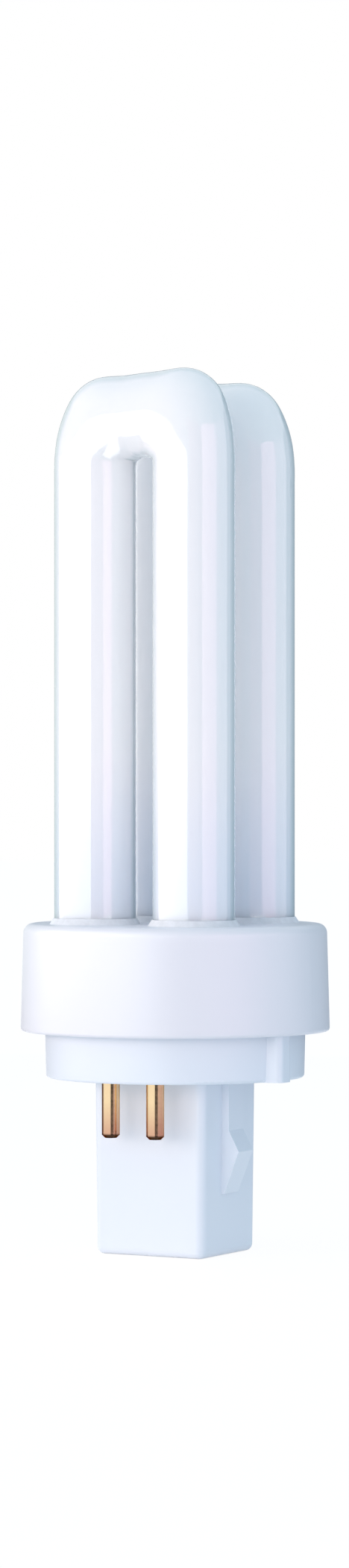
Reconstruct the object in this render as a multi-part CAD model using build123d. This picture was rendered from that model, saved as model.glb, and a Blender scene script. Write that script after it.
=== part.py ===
"""Four pin compact fluorescent lamp: two U-shaped tubes in a collar on a keyed plug-in cap.

Sizes are in millimetres. The origin is on the lamp's axis, in the plane of the disc's
underside, which seats on the lampholder. +Z runs up the tubes, the post hangs below the
origin, and each U lies in a plane along X, one in front (-Y) and one behind (+Y).
"""
from build123d import *
import math
import os

# Glass tubes
tube_diameter = 11.0
leg_spacing = 15.2  # between the axes of a U's two legs, along X
row_spacing = 16.9  # between the planes of the two U tubes, along Y
glass_top = 94.3  # height of the middle of a bend's top
bend_rise = 0.8  # how far the inner outline of its squared bend rises over the straight legs
bend_corner = 6.3  # half the width of the ellipse that rounds each corner of the bend
bend_swell = 0.2  # how much thicker than its tube a bend is in its middle
bend_slant = 0.07  # rise of a bend's outer outline towards its higher leg, per unit of run
bend_run_in = 4.0  # straight length of tube that is made with the bend
bend_sections = 12  # steps that a bend is divided into
run_in_start = 0.4  # first step of a run-in, short so that its surface starts in line with the leg

# Blown bridge between the two legs at -X, hidden in the collar
bridge_waist = 4.0
bridge_flare = 0.8  # how much the bridge's radius grows from its waist to its ends
bridge_height = 3.1  # height of its axis over the ends of its legs
bridge_inset = 1.65  # how deep its ends sit in the glass of the legs

# Feet of the glass, inside the collar
foot_depth = 6.4  # how far the legs at +X reach below the collar's top plate
bridge_foot_depth = 9.6  # and those at -X
foot_rounding = 2.6
seal_thickness = 2.6  # pinched seal of the two legs at +X, which hold the electrodes, along X
seal_width = 7.4  # along Y
seal_length = 2.6  # how far it stands below the leg's end
seal_rounding = 1.0

# Collar moulding
collar_height = 14.45
collar_draft = 0.4  # how much the collar's radius grows from its top to its lower rim
collar_wall = 1.6
collar_plate = 1.8
collar_top_rounding = 1.3
collar_bottom_rounding = 0.4
tube_room = 2.035  # from the outermost tube to the collar's wall
foot_clearance = 0.3  # radial, between a tube and its hole in the collar
snap_depth = 0.5  # how deep the cap's flange snaps into the collar's wall
snap_height = 0.8  # from the collar's lower rim up to the snap groove

# Keyed disc of the cap
disc_height = 6.25
disc_draft = 0.15  # how much the disc's radius grows from its underside to its top
disc_inset = 1.3  # least radial distance from the disc's outside to the inside of the collar's wall
disc_wall = 1.5
disc_floor = 1.8
disc_rounding = 0.4
flange_thickness = 1.6
flange_clearance = 0.1  # radial, in the collar's snap groove
key_reach = 1.25  # how far the key stands out of the disc
key_width = 3.4
key_offset = -3.5  # from the X axis to the key's middle
key_rounding = 0.9

# Post below the disc
post_length = 23.7
post_width = 17.0  # along X, at the disc
post_depth = 15.2  # along Y, at the disc
post_width_draft = 0.2  # each side's draft over the post's length
post_depth_draft = 0.2
post_wall = 1.5
post_floor = 1.5
post_corner_rounding = 1.15
post_inner_rounding = 0.6
post_tip_rounding = 1.0

# Latch noses on the post's two narrow sides
latch_width = 4.0
latch_offset = 0.3  # of its middle from the post's, along -Y on the side at +X and along +Y on the other
latch_reach = 1.0  # how far the upper part stands out of the post's side
latch_peak_reach = 2.5
latch_end_reach = 0.3
latch_straight = 6.8  # length of the upper part, from the disc down
latch_peak_drop = 9.6
latch_length = 15.3

# Contact pins
pin_diameter = 2.4
pin_length = 7.6
pin_spacing_x = 6.8
pin_spacing_y = 23.0
pin_chamfer = 0.4
pin_shank_diameter = 2.8  # of the part in the disc's floor
pin_clearance = 0.02  # radial, between the shank and its hole
pin_room = 2.058  # from a pin's flange to the disc's wall
pin_flange_diameter = 3.8
pin_flange_thickness = 0.8
pin_barrel_diameter = 2.0  # of the part above the flange, which takes the wire
pin_barrel_length = 2.4
pin_bore_depth = 1.8

# Lead wires
wire_diameter = 0.6
wire_clearance = 0.05  # radial, in the pin's bore
wire_spacing = 3.0  # between the two wires of one seal
wire_drop = 1.2  # straight stretch below the seal
wire_bend = 0.9

# Basing cement
cement_thickness = 3.0
cement_clearance = 0.02  # to the glass and to the collar's walls
cement_bead_height = 0.8  # bead around each tube, over the collar's top
cement_bead_width = 0.35  # how far it covers the collar around the hole
cement_bead_lip = 0.12  # its thickness at the top

# Sizes that follow
tube_radius = tube_diameter / 2
leg_x = leg_spacing / 2
row_y = row_spacing / 2
bend_height = bend_rise + tube_diameter + bend_swell
bend_base = glass_top - bend_height
collar_bottom = disc_height
collar_top = collar_bottom + collar_height
plate_underside = collar_top - collar_plate
pin_x = pin_spacing_x / 2
pin_y = pin_spacing_y / 2
disc_inner_radius = math.hypot(pin_x, pin_y) + pin_flange_diameter / 2 + pin_room
disc_bottom_radius = disc_inner_radius + disc_wall
disc_top_radius = disc_bottom_radius + disc_draft
collar_inner_radius = max(math.hypot(leg_x, row_y) + tube_radius + tube_room, disc_top_radius + disc_inset)
collar_top_radius = collar_inner_radius + collar_wall
collar_bottom_radius = collar_top_radius + collar_draft
groove_radius = collar_inner_radius + snap_depth
groove_bottom = collar_bottom + snap_height
groove_top = groove_bottom + flange_thickness
seal_leg_end = plate_underside - foot_depth
bridge_leg_end = plate_underside - bridge_foot_depth
bridge_axis = bridge_leg_end + bridge_height
seal_end = seal_leg_end - seal_length
hole_radius = tube_radius + foot_clearance
pin_top = disc_floor + pin_flange_thickness + pin_barrel_length
bore_floor = pin_top - pin_bore_depth

parts = {}


def bend_outline(across, up):
    """Distance from a bend's middle to its outer outline, a flat top between two elliptic corners."""
    flat = leg_x + tube_radius - bend_corner
    if abs(across) * bend_height <= flat * up:
        outer = bend_height / up
    else:
        spread = (across / bend_corner) ** 2 + (up / bend_height) ** 2
        lean = abs(across) * flat / bend_corner**2
        outer = (lean + math.sqrt(lean**2 - spread * ((flat / bend_corner) ** 2 - 1))) / spread
    return outer * (1 + bend_slant * outer * across * up**2 / bend_height)


def oval(plane, x_radius, y_radius):
    """Ellipse made of four arcs, whose ends a loft joins from one section to the next."""
    arcs = [
        Edge.make_ellipse(x_radius, y_radius, plane, start_angle=turn, end_angle=turn + 90)
        for turn in (0, 90, 180, 270)
    ]
    return Face(Wire(arcs))


def bend_section(angle):
    """One oval section of a bend, in a plane through the bend's middle at an angle in degrees."""
    across = math.cos(math.radians(angle))
    up = math.sin(math.radians(angle))
    outer = bend_outline(across, up)
    inner_x = leg_x - tube_radius
    inner = math.hypot(across / inner_x, up / bend_rise) ** -1
    middle = (outer + inner) / 2
    direction = (across, 0, up)
    centre = (middle * across, 0, bend_base + middle * up)
    plane = Plane(origin=centre, x_dir=direction, z_dir=(-up, 0, across))
    return oval(plane, (outer - inner) / 2, tube_radius)


def leg_section(side, height):
    """Round section of a leg, turned the same way as the bend's sections."""
    plane = Plane(origin=(side * leg_x, 0, height), x_dir=(side, 0, 0), z_dir=(0, 0, side))
    return oval(plane, tube_radius, tube_radius)


def glass_leg(x, end):
    """Straight leg with a rounded lower end, up to where the bend's run-in starts."""
    leg = Pos(x, 0, end) * Cylinder(
        tube_radius, bend_base - bend_run_in - end, align=(Align.CENTER, Align.CENTER, Align.MIN)
    )
    return fillet(leg.edges().sort_by(Axis.Z)[0], foot_rounding)


def u_tube(left_end, right_end):
    """Two legs, each with the height of its lower end, and a squared bend that rises towards +X."""
    drops = (bend_run_in, bend_run_in - run_in_start, bend_run_in / 2, 0)
    run_in = [bend_base - drop for drop in drops]
    turns = [180 * step / bend_sections for step in range(1, bend_sections)]
    sections = [leg_section(1, height) for height in run_in]
    sections += [bend_section(turn) for turn in turns]
    sections += [leg_section(-1, height) for height in reversed(run_in)]
    return loft(sections) + glass_leg(-leg_x, left_end) + glass_leg(leg_x, right_end)


def bridge():
    """Waisted bridge between the legs at -X, with its ends inside the glass of the legs."""
    reach = row_y - tube_radius + bridge_inset
    waist = bridge_waist / 2
    end = waist + bridge_flare
    outline = [
        ThreePointArc((-reach, end), (0, waist), (reach, end)),
        Polyline((reach, end), (reach, 0), (-reach, 0), (-reach, end)),
    ]
    middle = (-leg_x, 0, bridge_axis)
    side_view = Plane(origin=middle, x_dir=(0, 1, 0), z_dir=(1, 0, 0))
    return revolve(side_view * make_face(outline), Axis(middle, (0, 1, 0)))


def pinched_seal(row):
    """Flat seal below an electrode leg at +X."""
    height = seal_length + foot_rounding
    seal = Pos(leg_x, row * row_y, seal_end) * Box(
        seal_thickness, seal_width, height, align=(Align.CENTER, Align.CENTER, Align.MIN)
    )
    return fillet(seal.edges().filter_by(Axis.Z), seal_rounding)


def glass_envelope():
    """The sealed discharge tube: a front U, one turned half round behind it, and what joins them."""
    front = Pos(0, -row_y, 0) * u_tube(bridge_leg_end, seal_leg_end)
    rear = Rot(0, 0, 180) * Pos(0, -row_y, 0) * u_tube(seal_leg_end, bridge_leg_end)
    return front + rear + bridge() + pinched_seal(-1) + pinched_seal(1)


def collar():
    """Cup-shaped moulding, open below, with four tube holes in its top and a snap groove inside."""
    outline = Polyline(
        (0, collar_top),
        (collar_top_radius, collar_top),
        (collar_bottom_radius, collar_bottom),
        (collar_inner_radius, collar_bottom),
        (collar_inner_radius, groove_bottom),
        (groove_radius, groove_bottom),
        (groove_radius, groove_top),
        (collar_inner_radius, groove_top),
        (collar_inner_radius, plate_underside),
        (0, plate_underside),
        close=True,
    )
    shell = revolve(Plane.XZ * make_face(outline), Axis.Z)
    top_rim = shell.edges().filter_by(GeomType.CIRCLE).group_by(Axis.Z)[-1]
    shell = fillet(top_rim, collar_top_rounding)
    bottom_rims = shell.edges().filter_by(GeomType.CIRCLE).group_by(Axis.Z)[0]
    shell = fillet(bottom_rims.sort_by(SortBy.RADIUS)[-1], collar_bottom_rounding)
    for x in (-leg_x, leg_x):
        for y in (-row_y, row_y):
            shell -= Pos(x, y, collar_top) * Cylinder(hole_radius, 4 * collar_plate)
    return shell


def rounded_block(width, depth, rounding, height):
    """Rounded rectangle at a height, as a section of the post."""
    return Pos(0, 0, height) * RectangleRounded(width, depth, rounding)


def post_outside():
    """Drafted post with a rounded tip."""
    tip_width = post_width - 2 * post_width_draft
    tip_depth = post_depth - 2 * post_depth_draft
    root = rounded_block(post_width, post_depth, post_corner_rounding, 0)
    tip = rounded_block(tip_width, tip_depth, post_corner_rounding, -post_length)
    post = loft([root, tip], ruled=True)
    return fillet(post.edges().group_by(Axis.Z)[0], post_tip_rounding)


def post_inside():
    """The post's hollow, open through the disc's floor."""
    width = post_width - 2 * post_wall
    depth = post_depth - 2 * post_wall
    hollow_end = -post_length + post_floor
    opening = rounded_block(width, depth, post_inner_rounding, 0)
    end = rounded_block(
        width - 2 * post_width_draft, depth - 2 * post_depth_draft, post_inner_rounding, hollow_end
    )
    return loft([opening, end], ruled=True) + extrude(opening, 2 * disc_floor)


def latch_nose(side):
    """Nose on a narrow side of the post: a straight stretch, a slope out to a peak and a slope back."""
    face = post_width / 2
    root = face - post_wall
    outline = Polyline(
        (side * root, 0),
        (side * (face + latch_reach), 0),
        (side * (face + latch_reach), -latch_straight),
        (side * (face + latch_peak_reach), -latch_peak_drop),
        (side * (face + latch_end_reach), -latch_length),
        (side * root, -latch_length),
        close=True,
    )
    nose = extrude(Plane.XZ * make_face(outline), latch_width / 2, both=True)
    return Pos(0, -side * latch_offset, 0) * nose


def disc_shell():
    """Cup with a floor at z = 0 and a flange around its mouth, which snaps into the collar."""
    outline = Polyline(
        (0, 0),
        (disc_bottom_radius, 0),
        (disc_top_radius, disc_height),
        (disc_top_radius, groove_bottom),
        (groove_radius - flange_clearance, groove_bottom),
        (groove_radius - flange_clearance, groove_top),
        (disc_inner_radius, groove_top),
        (disc_inner_radius, disc_floor),
        (0, disc_floor),
        close=True,
    )
    shell = revolve(Plane.XZ * make_face(outline), Axis.Z)
    lower_rim = shell.edges().filter_by(GeomType.CIRCLE).group_by(Axis.Z)[0]
    return fillet(lower_rim, disc_rounding)


def key():
    """Rounded block on the disc's +X side, which lets the lamp into its own holder only."""
    reach = disc_top_radius + key_reach - disc_inner_radius
    block = Pos(disc_inner_radius, key_offset, 0) * Box(
        reach, key_width, disc_height, align=(Align.MIN, Align.CENTER, Align.MIN)
    )
    outer_edges = block.edges().filter_by(Axis.Z).group_by(Axis.X)[-1]
    return fillet(outer_edges, key_rounding)


def cap_base():
    """Keyed disc, hollow post and latch noses, one moulding with a hole for each pin."""
    base = disc_shell() + key() + post_outside() + latch_nose(1) + latch_nose(-1)
    base -= post_inside()
    for x in (-pin_x, pin_x):
        for y in (-pin_y, pin_y):
            base -= Pos(x, y, 0) * Cylinder(pin_shank_diameter / 2 + pin_clearance, 3 * disc_floor)
    return base


def contact_pin(x, y):
    """Turned pin: chamfered tip, shank in the disc's floor, flange on it and a barrel for the wire."""
    radius = pin_diameter / 2
    shank = pin_shank_diameter / 2
    barrel = pin_barrel_diameter / 2
    bore = wire_diameter / 2 + wire_clearance
    flange_top = disc_floor + pin_flange_thickness
    outline = Polyline(
        (0, -pin_length),
        (radius - pin_chamfer, -pin_length),
        (radius, -pin_length + pin_chamfer),
        (radius, 0),
        (shank, 0),
        (shank, disc_floor),
        (pin_flange_diameter / 2, disc_floor),
        (pin_flange_diameter / 2, flange_top),
        (barrel, flange_top),
        (barrel, pin_top),
        (bore, pin_top),
        (bore, bore_floor),
        (0, bore_floor),
        close=True,
    )
    return Pos(x, y, 0) * revolve(Plane.XZ * make_face(outline), Axis.Z)


def lead_wire(x, row):
    """Wire from a seal at +X down into a pin's bore, bent in one upright plane."""
    near_seal = wire_spacing / 2 if x > 0 else -wire_spacing / 2
    start = Vector(leg_x, row * (row_y + near_seal), seal_end)
    end = Vector(x, row * pin_y, bore_floor)
    run = Vector(end.X - start.X, end.Y - start.Y, 0)
    plane = Plane(origin=start, x_dir=run, z_dir=run.cross(Vector(0, 0, 1)))
    path = plane * FilletPolyline(
        (0, 0),
        (0, -wire_drop),
        (run.length, -wire_drop),
        (run.length, end.Z - start.Z),
        radius=wire_bend,
    )
    return sweep(Plane(origin=start, z_dir=(0, 0, -1)) * Circle(wire_diameter / 2), path=path)


def basing_cement():
    """Cement slab under the collar's top plate, with a thin sleeve and bead around each tube."""
    slab = Pos(0, 0, plate_underside) * Cylinder(
        collar_inner_radius - cement_clearance,
        cement_thickness,
        align=(Align.CENTER, Align.CENTER, Align.MAX),
    )
    for x in (-leg_x, leg_x):
        for y in (-row_y, row_y):
            slab += Pos(x, y, plate_underside) * Cylinder(
                hole_radius - cement_clearance,
                collar_plate,
                align=(Align.CENTER, Align.CENTER, Align.MIN),
            )
            slab += Pos(x, y, collar_top) * Cone(
                hole_radius + cement_bead_width,
                tube_radius + cement_bead_lip,
                cement_bead_height,
                align=(Align.CENTER, Align.CENTER, Align.MIN),
            )
            slab -= Pos(x, y, plate_underside) * Cylinder(
                tube_radius + cement_clearance,
                2 * (cement_thickness + collar_plate + cement_bead_height),
            )
    return slab


parts["glass_envelope"] = glass_envelope()
parts["collar"] = collar()
parts["cap_base"] = cap_base()
parts["basing_cement"] = basing_cement()
for row_name, row in (("front", -1), ("rear", 1)):
    for side_name, side in (("left", -1), ("right", 1)):
        place = row_name + "_" + side_name
        parts["contact_pin_" + place] = contact_pin(side * pin_x, row * pin_y)
        parts["lead_wire_" + place] = lead_wire(side * pin_x, row)

os.makedirs("parts", exist_ok=True)
for node, shape in parts.items():
    export_step(shape, "parts/" + node + ".step")
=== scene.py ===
"""Looks of a four pin compact fluorescent lamp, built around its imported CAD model.

Everything is in metres in the CAD model's frame: the lamp's axis is Z, the disc's underside is
at z = 0, the tubes stand above it and the post hangs below.
"""
import math

import bpy
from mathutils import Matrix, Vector


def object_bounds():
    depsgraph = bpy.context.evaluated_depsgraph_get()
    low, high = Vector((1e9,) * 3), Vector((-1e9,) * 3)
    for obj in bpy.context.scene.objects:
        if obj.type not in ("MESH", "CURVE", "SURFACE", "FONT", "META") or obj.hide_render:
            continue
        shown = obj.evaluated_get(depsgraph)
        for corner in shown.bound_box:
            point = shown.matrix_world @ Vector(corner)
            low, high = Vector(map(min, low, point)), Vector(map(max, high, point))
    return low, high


bl_info = {
    "name": "Compact fluorescent lamp",
    "version": (1, 0, 0),
    "blender": (4, 5, 0),
    "location": "View3D > Sidebar > Lamp",
    "description": "Finishes the opal tubes, mouldings and pins of a plug-in lamp and sets its stage",
    "category": "Object",
}

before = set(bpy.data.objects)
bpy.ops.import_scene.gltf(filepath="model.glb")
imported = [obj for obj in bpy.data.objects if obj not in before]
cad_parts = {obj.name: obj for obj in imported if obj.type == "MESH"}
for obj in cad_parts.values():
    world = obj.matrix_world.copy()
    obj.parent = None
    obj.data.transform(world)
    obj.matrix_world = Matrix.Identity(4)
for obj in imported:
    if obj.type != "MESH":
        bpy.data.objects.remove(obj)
cad_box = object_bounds()

MM = 0.001
WHITE = (1.0, 1.0, 1.0)
MOULDINGS = ("collar", "cap_base")
PLACES = ("front_left", "front_right", "rear_left", "rear_right")

# The photograph's height and how far right of its middle the lamp's axis stands, in pixels
PHOTO_HEIGHT = 2100
AXIS_OFFSET = 1.0
SENSOR_HEIGHT = 36.0

# Heights between which the tubes' coating passes from a painted shade at its foot to its own colour; the
# painted shade stands in for the shade that falls low between the tubes
PAINTED_FOOT_SHADE_BOTTOM = 16.0 * MM
PAINTED_FOOT_SHADE_TOP = 52.0 * MM
GLASS_IOR = 1.55
PLASTIC_IOR = 1.5
PIN_TIP = -7.6 * MM
PIN_RING_DEPTH = 0.02 * MM
CEMENT_GRAIN_DEPTH = 0.1 * MM

# Soft lamps: name, turn from the camera to the right and rise in degrees, colour, brightness of the face
LAMPS = (
    ("key_left", -90, 4, (1.0, 0.75, 0.65), 3.2),
    ("key_side", -60, 4, (1.0, 0.75, 0.65), 3.7),
    ("key_front", -30, 3, (1.0, 0.77, 0.68), 4.4),
    ("fill_front", 12, 5, (1.0, 0.62, 0.74), 0.3),
)
LAMP_DISTANCE = 1.2
LAMP_SIZE = 0.5
LAMP_AIM_HEIGHT = 35.0 * MM

FLOOR_RADIUS = 3.0
FLOOR_GLOW = 1.06
FLOOR_GLOW_SHARE = 0.85
CARD_FOOT = -23.6 * MM  # just above the floor
# Cards that stand: name, both ends in plan (to the right, towards the camera), lowest and highest edge,
# colour, brightness
CARDS = (
    ("panel_left", (-0.031, 0.112), (-0.140, -0.068), 0.012, 0.098, (1.0, 1.0, 0.95), 4.5),
    ("opening", (-0.094, 0.440), (0.168, 0.417), 0.006, 0.250, (1.0, 0.55, 0.65), 1.1),
    ("panel_right", (0.168, 0.417), (0.400, 0.200), 0.006, 0.250, (1.0, 0.62, 0.72), 3.4),
    ("side_right", (0.400, 0.200), (0.449, -0.100), 0.006, 0.250, (1.0, 0.85, 0.9), 1.6),
    ("back_right", (0.449, -0.100), (0.200, -0.403), CARD_FOOT, 0.250, (0.6, 0.8, 0.9), 0.1),
    ("back", (0.200, -0.403), (-0.100, -0.439), CARD_FOOT, 0.250, (0.7, 0.9, 1.0), 0.3),
    ("back_left", (-0.100, -0.439), (-0.420, -0.160), CARD_FOOT, 0.250, (0.8, 1.0, 0.92), 0.62),
    ("low_front", (-0.012, 0.130), (0.080, 0.130), CARD_FOOT, 0.006, (0.04, 0.04, 0.04), 1.0),
    ("low_right", (0.081, 0.130), (0.130, -0.050), CARD_FOOT, 0.006, (0.58, 0.46, 0.52), 1.0),
    ("low_back", (0.130, -0.051), (0.050, -0.130), CARD_FOOT, 0.006, (0.10, 0.09, 0.12), 1.0),
    ("low_left", (-0.130, -0.030), (-0.050, -0.130), CARD_FOOT, 0.006, (0.16, 0.13, 0.15), 1.0),
)
# Cards that lie level and glow upwards: name, two opposite corners in plan (to the right, towards the
# camera), height, colour, brightness
MATS = (
    ("mat_front", (-0.110, 0.026), (0.060, 0.090), 0.019, WHITE, 5.0),
)


def node_material(name):
    """New material, its node tree and its Principled shader."""
    material = bpy.data.materials.new(name)
    material.use_nodes = True
    tree = material.node_tree
    return material, tree, tree.nodes["Principled BSDF"]


def ramp(tree, source, stops):
    """Colour ramp over a source socket; each stop is a position and an RGB colour."""
    node = tree.nodes.new("ShaderNodeValToRGB")
    elements = node.color_ramp.elements
    while len(elements) < len(stops):
        elements.new(0.5)
    for element, (position, colour) in zip(elements, stops):
        element.position = position
        element.color = (*colour, 1.0)
    tree.links.new(source, node.inputs["Fac"])
    return node.outputs["Color"]


def spread(tree, source, low, high):
    """Maps a source that runs from 0 to 1 to the range from low to high."""
    node = tree.nodes.new("ShaderNodeMapRange")
    node.inputs["To Min"].default_value = low
    node.inputs["To Max"].default_value = high
    tree.links.new(source, node.inputs["Value"])
    return node.outputs["Result"]


def noise(tree, scale, detail=3.0, stretch=(1, 1, 1)):
    """Noise over the object's own coordinates, stretched along its axes."""
    place = tree.nodes.new("ShaderNodeTexCoord")
    mapping = tree.nodes.new("ShaderNodeMapping")
    mapping.inputs["Scale"].default_value = stretch
    texture = tree.nodes.new("ShaderNodeTexNoise")
    texture.inputs["Scale"].default_value = scale
    texture.inputs["Detail"].default_value = detail
    tree.links.new(place.outputs["Object"], mapping.inputs["Vector"])
    tree.links.new(mapping.outputs["Vector"], texture.inputs["Vector"])
    return texture.outputs["Fac"]


def climb(tree, bottom, top, interpolation="LINEAR"):
    """Runs from 0 at one height to 1 at another, along the object's own Z axis."""
    place = tree.nodes.new("ShaderNodeTexCoord")
    parts = tree.nodes.new("ShaderNodeSeparateXYZ")
    node = tree.nodes.new("ShaderNodeMapRange")
    node.interpolation_type = interpolation
    node.inputs["From Min"].default_value = bottom
    node.inputs["From Max"].default_value = top
    tree.links.new(place.outputs["Object"], parts.inputs["Vector"])
    tree.links.new(parts.outputs["Z"], node.inputs["Value"])
    return node.outputs["Result"]


def relief(tree, shader, source, strength, distance):
    """Fine bump from a source socket."""
    bump = tree.nodes.new("ShaderNodeBump")
    bump.inputs["Strength"].default_value = strength
    bump.inputs["Distance"].default_value = distance
    tree.links.new(source, bump.inputs["Height"])
    tree.links.new(bump.outputs["Normal"], shader.inputs["Normal"])


def multiplied(tree, first, second):
    """Product of two colour sockets."""
    node = tree.nodes.new("ShaderNodeMix")
    node.data_type = "RGBA"
    node.blend_type = "MULTIPLY"
    node.inputs["Factor"].default_value = 1.0
    tree.links.new(first, node.inputs["A"])
    tree.links.new(second, node.inputs["B"])
    return node.outputs["Result"]


def tinted(colour, factor):
    """A colour made lighter or darker by a factor."""
    return tuple(channel * factor for channel in colour[:3])


def mottled(tree, source, colour, darkest):
    """Colour that wavers with a noise source between itself and a darker share of itself."""
    return ramp(tree, source, [(0.3, tinted(colour, darkest)), (0.7, colour[:3])])


def cover(node, material):
    """Gives a CAD node its finished material."""
    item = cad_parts[node]
    item.data.materials.clear()
    item.data.materials.append(material)
    for polygon in item.data.polygons:
        polygon.material_index = 0


def opal_glass(settings):
    """Glossy opal glass: a white inside coating seen through clear glass, with painted shade towards the
    tubes' feet.
    """
    material, tree, shader = node_material("opal_glass")
    coating = mottled(tree, noise(tree, 90.0, 2.0, (1, 1, 0.25)), settings.colour, 0.985)
    # Painted shade: the coating darkens and turns bluer towards the tubes' feet, low between the tubes
    # where less light reaches
    rise = climb(tree, PAINTED_FOOT_SHADE_BOTTOM, PAINTED_FOOT_SHADE_TOP, "SMOOTHSTEP")
    shade = ramp(tree, rise, [(0.0, settings.painted_foot_shade[:3]), (1.0, WHITE)])
    body = multiplied(tree, coating, shade)
    facing = tree.nodes.new("ShaderNodeLayerWeight")
    facing.inputs["Blend"].default_value = 0.5
    rim = ramp(tree, facing.outputs["Facing"], [(0.50, WHITE), (0.66, settings.rim_shade[:3])])
    tree.links.new(multiplied(tree, body, rim), shader.inputs["Base Color"])
    tree.links.new(spread(tree, noise(tree, 240.0), 0.02, 0.05), shader.inputs["Roughness"])
    shader.inputs["IOR"].default_value = GLASS_IOR
    shader.inputs["Subsurface Weight"].default_value = 1.0
    shader.inputs["Subsurface Radius"].default_value = (1.0, 1.0, 1.0)
    shader.inputs["Subsurface Scale"].default_value = settings.scatter
    return material


def moulded_plastic(name, colour, roughness, texture_size):
    """White moulding: faint flow marks, a fine even grain and soft gloss."""
    material, tree, shader = node_material(name)
    flow = noise(tree, 45.0, 3.0, (1, 1, 0.4))
    tree.links.new(mottled(tree, flow, colour, 0.97), shader.inputs["Base Color"])
    grain = noise(tree, 1.0 / texture_size, 4.0)
    tree.links.new(spread(tree, grain, roughness - 0.06, roughness + 0.06), shader.inputs["Roughness"])
    relief(tree, shader, grain, 0.1, texture_size * 0.05)
    shader.inputs["IOR"].default_value = PLASTIC_IOR
    return material


def turned_brass(settings):
    """Bright turned brass with fine rings round the pin, with painted dark reflection that turns it
    browner and darker towards the tip.
    """
    material, tree, shader = node_material("pin_brass")
    painted_tip_tone = settings.painted_tip_reflection_and_edge_tint[:3]
    # Painted reflection: below its upper third the brass is painted browner, and nearly black at the
    # very tip, for the darker surroundings it reflects low down
    stops = [
        (0.0, tinted(painted_tip_tone, 0.06)),
        (0.05, tinted(painted_tip_tone, 0.10)),
        (0.085, painted_tip_tone),
        (0.65, settings.colour[:3]),
    ]
    tree.links.new(ramp(tree, climb(tree, PIN_TIP, 0.0), stops), shader.inputs["Base Color"])
    rings = noise(tree, 60.0, 3.0, (1, 1, 60))
    tree.links.new(spread(tree, rings, 0.1, 0.22), shader.inputs["Roughness"])
    relief(tree, shader, rings, 0.15, PIN_RING_DEPTH)
    shader.inputs["Metallic"].default_value = 1.0
    shader.inputs["Specular Tint"].default_value = (*tinted(settings.painted_tip_reflection_and_edge_tint, 0.8), 1.0)
    return material


def cement(settings):
    """Matt, slightly rough white cement."""
    material, tree, shader = node_material("cement")
    grains = noise(tree, 900.0, 4.0)
    tree.links.new(mottled(tree, grains, settings.colour, 0.88), shader.inputs["Base Color"])
    relief(tree, shader, grains, 0.4, CEMENT_GRAIN_DEPTH)
    shader.inputs["Roughness"].default_value = 0.8
    return material


def drawn_wire(colour):
    """Drawn nickel wire with fine marks along it."""
    material, tree, shader = node_material("lead_wire")
    marks = noise(tree, 700.0, 3.0)
    tree.links.new(mottled(tree, marks, colour, 0.9), shader.inputs["Base Color"])
    tree.links.new(spread(tree, marks, 0.25, 0.4), shader.inputs["Roughness"])
    shader.inputs["Metallic"].default_value = 1.0
    return material


class LampGlassSettings(bpy.types.PropertyGroup):
    colour: bpy.props.FloatVectorProperty(
        name="Coating colour", description="Colour of the tubes' inside coating",
        subtype="COLOR", size=3, min=0, max=1, default=(0.96, 0.94, 0.96),
    )
    # Painted shade: how much of the coating's colour is left at the tubes' feet, for the shade that
    # falls there
    painted_foot_shade: bpy.props.FloatVectorProperty(
        name="Foot shade", description="How much of the coating's colour is left at the tubes' feet",
        subtype="COLOR", size=3, min=0, max=1, default=(0.82, 0.88, 0.93),
    )
    rim_shade: bpy.props.FloatVectorProperty(
        name="Rim shade", description="How much of the coating's colour is left at the tubes' edges",
        subtype="COLOR", size=3, min=0, max=1, default=(0.80, 0.86, 0.85),
    )
    scatter: bpy.props.FloatProperty(
        name="Scatter", description="How far light spreads inside the opal glass",
        unit="LENGTH", min=0, max=0.02, default=0.003,
    )


class LampMouldingSettings(bpy.types.PropertyGroup):
    collar_colour: bpy.props.FloatVectorProperty(
        name="Collar colour", description="Colour of the collar's plastic",
        subtype="COLOR", size=3, min=0, max=1, default=(0.845, 0.845, 0.89),
    )
    cap_colour: bpy.props.FloatVectorProperty(
        name="Cap colour", description="Colour of the plastic of the disc and the post",
        subtype="COLOR", size=3, min=0, max=1, default=(0.83, 0.88, 0.94),
    )
    roughness: bpy.props.FloatProperty(
        name="Roughness", description="Roughness of the mouldings' surface",
        subtype="FACTOR", min=0.1, max=0.9, default=0.38,
    )
    texture_size: bpy.props.FloatProperty(
        name="Texture size", description="Size of the grain of the mouldings' surface",
        unit="LENGTH", min=0.00005, max=0.01, default=0.0006,
    )


class LampMetalSettings(bpy.types.PropertyGroup):
    colour: bpy.props.FloatVectorProperty(
        name="Brass colour", description="Colour of the contact pins",
        subtype="COLOR", size=3, min=0, max=1, default=(0.93, 0.71, 0.43),
    )
    # Painted reflection: the browner, darker colour of the pins towards their tips; the same colour also
    # gives the brass its edge tint
    painted_tip_reflection_and_edge_tint: bpy.props.FloatVectorProperty(
        name="Painted_tip_reflection colour", description="Colour that the brass has taken near the pins' tips",
        subtype="COLOR", size=3, min=0, max=1, default=(0.71, 0.42, 0.28),
    )
    wire_colour: bpy.props.FloatVectorProperty(
        name="Wire colour", description="Colour of the lead wires",
        subtype="COLOR", size=3, min=0, max=1, default=(0.62, 0.60, 0.57),
    )


class LampCementSettings(bpy.types.PropertyGroup):
    colour: bpy.props.FloatVectorProperty(
        name="Cement colour", description="Colour of the cement round the tubes",
        subtype="COLOR", size=3, min=0, max=1, default=(0.80, 0.82, 0.86),
    )


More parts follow.
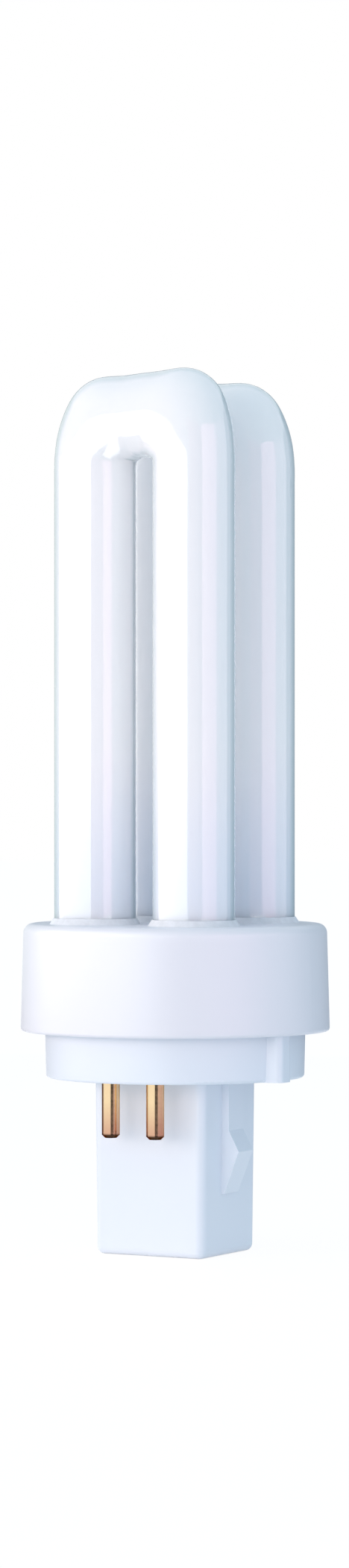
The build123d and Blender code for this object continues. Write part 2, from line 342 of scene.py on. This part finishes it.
class LampStageSettings(bpy.types.PropertyGroup):
    camera_turn: bpy.props.FloatProperty(
        name="Camera turn", description="How far round the lamp the camera stands, from -Y towards +X",
        subtype="ANGLE", unit="ROTATION", default=math.radians(29.3),
    )
    camera_distance: bpy.props.FloatProperty(
        name="Camera distance", description="From the lamp's axis to the camera",
        unit="LENGTH", min=0.1, default=0.5874,
    )
    camera_height: bpy.props.FloatProperty(
        name="Camera height", description="Height of the level camera above the disc's underside",
        unit="LENGTH", default=0.0395,
    )
    focal_pixels: bpy.props.FloatProperty(
        name="Focal length", description="Focal length in pixels of a picture 2100 pixels high",
        min=100, default=5822.0,
    )
    floor_colour: bpy.props.FloatVectorProperty(
        name="Floor colour", description="Colour of the floor",
        subtype="COLOR", size=3, min=0, max=1, default=(0.9, 0.91, 0.93),
    )
    room_colour: bpy.props.FloatVectorProperty(
        name="Room light colour", description="Colour of the even light of the room",
        subtype="COLOR", size=3, min=0, max=1, default=(0.59, 0.73, 0.84),
    )


class LAMP_OT_glass(bpy.types.Operator):
    """Finish the opal glass tubes"""

    bl_idname = "lamp.glass"
    bl_label = "Opal glass tubes"

    def execute(self, context):
        cover("glass_envelope", opal_glass(context.scene.lamp_glass))
        return {"FINISHED"}


class LAMP_OT_mouldings(bpy.types.Operator):
    """Finish the collar and the cap with its disc, post and latches"""

    bl_idname = "lamp.mouldings"
    bl_label = "Collar and cap"

    def execute(self, context):
        settings = context.scene.lamp_mouldings
        surface = (settings.roughness, settings.texture_size)
        for node, colour in zip(MOULDINGS, (settings.collar_colour, settings.cap_colour)):
            cover(node, moulded_plastic(node + "_plastic", colour, *surface))
        return {"FINISHED"}


class LAMP_OT_pins(bpy.types.Operator):
    """Finish the four brass contact pins and their lead wires"""

    bl_idname = "lamp.pins"
    bl_label = "Contact pins and wires"

    def execute(self, context):
        settings = context.scene.lamp_metal
        brass = turned_brass(settings)
        wire = drawn_wire(settings.wire_colour)
        for place in PLACES:
            cover("contact_pin_" + place, brass)
            cover("lead_wire_" + place, wire)
        return {"FINISHED"}


class LAMP_OT_cement(bpy.types.Operator):
    """Finish the basing cement round the tubes"""

    bl_idname = "lamp.cement"
    bl_label = "Basing cement"

    def execute(self, context):
        cover("basing_cement", cement(context.scene.lamp_cement))
        return {"FINISHED"}


def across_view(turn):
    """Unit vectors to the right in the picture and towards the camera."""
    right = Vector((math.cos(turn), math.sin(turn), 0))
    near = Vector((math.sin(turn), -math.cos(turn), 0))
    return right, near


def seen_by_eye(tree):
    """1 for camera, glossy and transmission rays, and 0 for rays that carry light."""
    path = tree.nodes.new("ShaderNodeLightPath")
    first = tree.nodes.new("ShaderNodeMath")
    first.operation = "MAXIMUM"
    tree.links.new(path.outputs["Is Camera Ray"], first.inputs[0])
    tree.links.new(path.outputs["Is Glossy Ray"], first.inputs[1])
    second = tree.nodes.new("ShaderNodeMath")
    second.operation = "MAXIMUM"
    tree.links.new(first.outputs["Value"], second.inputs[0])
    tree.links.new(path.outputs["Is Transmission Ray"], second.inputs[1])
    return second.outputs["Value"]


def blend(tree, share, first, second, output):
    """Sends a mix of two shaders to an output node; the share is the second one's."""
    mix = tree.nodes.new("ShaderNodeMixShader")
    tree.links.new(share, mix.inputs["Fac"])
    tree.links.new(first, mix.inputs[1])
    tree.links.new(second, mix.inputs[2])
    tree.links.new(mix.outputs["Shader"], tree.nodes[output].inputs["Surface"])


def make_floor(settings):
    """Pale floor under the post's tip, which keeps a faint shadow of the lamp."""
    bpy.ops.mesh.primitive_circle_add(
        vertices=96, radius=FLOOR_RADIUS, fill_type="NGON", location=(0, 0, cad_box[0][2])
    )
    floor = bpy.context.object
    floor.name = "floor"
    material, tree, shader = node_material("floor")
    tone = mottled(tree, noise(tree, 3.0), settings.floor_colour, 0.99)
    tree.links.new(tone, shader.inputs["Base Color"])
    shader.inputs["Roughness"].default_value = 0.7
    glow = tree.nodes.new("ShaderNodeEmission")
    glow.inputs["Strength"].default_value = FLOOR_GLOW
    share = spread(tree, seen_by_eye(tree), 0.0, FLOOR_GLOW_SHARE)
    blend(tree, share, shader.outputs["BSDF"], glow.outputs["Emission"], "Material Output")
    floor.data.materials.append(material)


def make_room(settings):
    """Even light of the room, with a white background where it is seen."""
    world = bpy.data.worlds.new("room")
    world.use_nodes = True
    bpy.context.scene.world = world
    tree = world.node_tree
    light = tree.nodes["Background"]
    light.inputs["Color"].default_value = (*settings.room_colour, 1.0)
    light.inputs["Strength"].default_value = 1.0
    white = tree.nodes.new("ShaderNodeBackground")
    white.inputs["Color"].default_value = (*WHITE, 1.0)
    white.inputs["Strength"].default_value = 1.0
    sides = (light.outputs["Background"], white.outputs["Background"])
    blend(tree, seen_by_eye(tree), *sides, "World Output")


def make_lamps(settings):
    """Soft lamps round the object; each stands at a turn from the camera and faces the object."""
    right, near = across_view(settings.camera_turn)
    aim = Vector((0, 0, LAMP_AIM_HEIGHT))
    for name, turn, rise, colour, brightness in LAMPS:
        turn, rise = math.radians(turn), math.radians(rise)
        level = near * math.cos(turn) + right * math.sin(turn)
        direction = level * math.cos(rise) + Vector((0, 0, math.sin(rise)))
        data = bpy.data.lights.new(name, "AREA")
        data.shape = "SQUARE"
        data.size = LAMP_SIZE
        data.color = colour
        data.energy = brightness * math.pi * LAMP_SIZE**2
        item = bpy.data.objects.new(name, data)
        bpy.context.scene.collection.objects.link(item)
        item.location = aim + direction * LAMP_DISTANCE
        item.rotation_euler = direction.to_track_quat("Z", "Y").to_euler()
        item.visible_camera = False
        item.visible_glossy = False


def make_card(name, corners, colour, brightness):
    """Card that glows from its front, and shows only in the reflections of the glass and the metal."""
    mesh = bpy.data.meshes.new(name)
    mesh.from_pydata(corners, [], [(0, 1, 2, 3)])
    card = bpy.data.objects.new(name, mesh)
    bpy.context.scene.collection.objects.link(card)
    material, tree, _ = node_material(name)
    glow = tree.nodes.new("ShaderNodeEmission")
    glow.inputs["Color"].default_value = (*colour, 1.0)
    glow.inputs["Strength"].default_value = brightness
    clear = tree.nodes.new("ShaderNodeBsdfTransparent")
    behind = tree.nodes.new("ShaderNodeNewGeometry").outputs["Backfacing"]
    blend(tree, behind, glow.outputs["Emission"], clear.outputs["BSDF"], "Material Output")
    mesh.materials.append(material)
    card.visible_camera = False
    card.visible_diffuse = False
    card.visible_shadow = False
    card.visible_transmission = False


def make_cards(settings):
    """Standing cards that face the object, and level cards that face up."""
    right, near = across_view(settings.camera_turn)
    for name, start, end, low, high, colour, brightness in CARDS:
        first = right * start[0] + near * start[1]
        last = right * end[0] + near * end[1]
        edges = [(first, low), (last, low), (last, high), (first, high)]
        if first.cross(last).z > 0:
            edges.reverse()
        make_card(name, [(*spot.xy, height) for spot, height in edges], colour, brightness)
    for name, lowest, highest, height, colour, brightness in MATS:
        places = (
            (lowest[0], highest[1]),
            (highest[0], highest[1]),
            (highest[0], lowest[1]),
            (lowest[0], lowest[1]),
        )
        corners = [(*(right * across + near * along).xy, height) for across, along in places]
        make_card(name, corners, colour, brightness)


def make_camera(settings):
    """Level camera at the photograph's viewing angle."""
    _, near = across_view(settings.camera_turn)
    data = bpy.data.cameras.new("camera")
    data.sensor_fit = "VERTICAL"
    data.sensor_height = SENSOR_HEIGHT
    data.lens = settings.focal_pixels * SENSOR_HEIGHT / PHOTO_HEIGHT
    data.shift_x = -AXIS_OFFSET / PHOTO_HEIGHT
    data.clip_start = 0.01
    camera = bpy.data.objects.new("camera", data)
    bpy.context.scene.collection.objects.link(camera)
    camera.location = near * settings.camera_distance + Vector((0, 0, settings.camera_height))
    camera.rotation_euler = (math.radians(90), 0, settings.camera_turn)
    bpy.context.scene.camera = camera


class LAMP_OT_stage(bpy.types.Operator):
    """Set the floor, the room, the lamps, the cards and the camera"""

    bl_idname = "lamp.stage"
    bl_label = "Stage"

    def execute(self, context):
        settings = context.scene.lamp_stage
        make_floor(settings)
        make_room(settings)
        make_lamps(settings)
        make_cards(settings)
        make_camera(settings)
        context.scene.view_settings.view_transform = "Standard"
        return {"FINISHED"}


class LAMP_PT_sidebar(bpy.types.Panel):
    """Lists the steps that finish the lamp"""

    bl_idname = "LAMP_PT_sidebar"
    bl_label = "Compact fluorescent lamp"
    bl_space_type = "VIEW_3D"
    bl_region_type = "UI"
    bl_category = "Lamp"

    def draw(self, context):
        for group, operator in STEPS:
            box = self.layout.box()
            settings = getattr(context.scene, group)
            for name in settings.bl_rna.properties.keys():
                if name not in ("rna_type", "name"):
                    box.prop(settings, name)
            box.operator(operator)


STEPS = (
    ("lamp_glass", "lamp.glass"),
    ("lamp_mouldings", "lamp.mouldings"),
    ("lamp_metal", "lamp.pins"),
    ("lamp_cement", "lamp.cement"),
    ("lamp_stage", "lamp.stage"),
)
SETTINGS = (
    ("lamp_glass", LampGlassSettings),
    ("lamp_mouldings", LampMouldingSettings),
    ("lamp_metal", LampMetalSettings),
    ("lamp_cement", LampCementSettings),
    ("lamp_stage", LampStageSettings),
)
CLASSES = (
    LAMP_OT_glass,
    LAMP_OT_mouldings,
    LAMP_OT_pins,
    LAMP_OT_cement,
    LAMP_OT_stage,
    LAMP_PT_sidebar,
)


def register():
    for name, group in SETTINGS:
        bpy.utils.register_class(group)
        setattr(bpy.types.Scene, name, bpy.props.PointerProperty(type=group))
    for item in CLASSES:
        bpy.utils.register_class(item)


def unregister():
    for item in reversed(CLASSES):
        bpy.utils.unregister_class(item)
    for name, group in reversed(SETTINGS):
        delattr(bpy.types.Scene, name)
        bpy.utils.unregister_class(group)


def main():
    register()
    bpy.ops.lamp.glass()
    bpy.ops.lamp.mouldings()
    bpy.ops.lamp.pins()
    bpy.ops.lamp.cement()
    bpy.ops.lamp.stage()


if __name__ == "__main__":
    main()
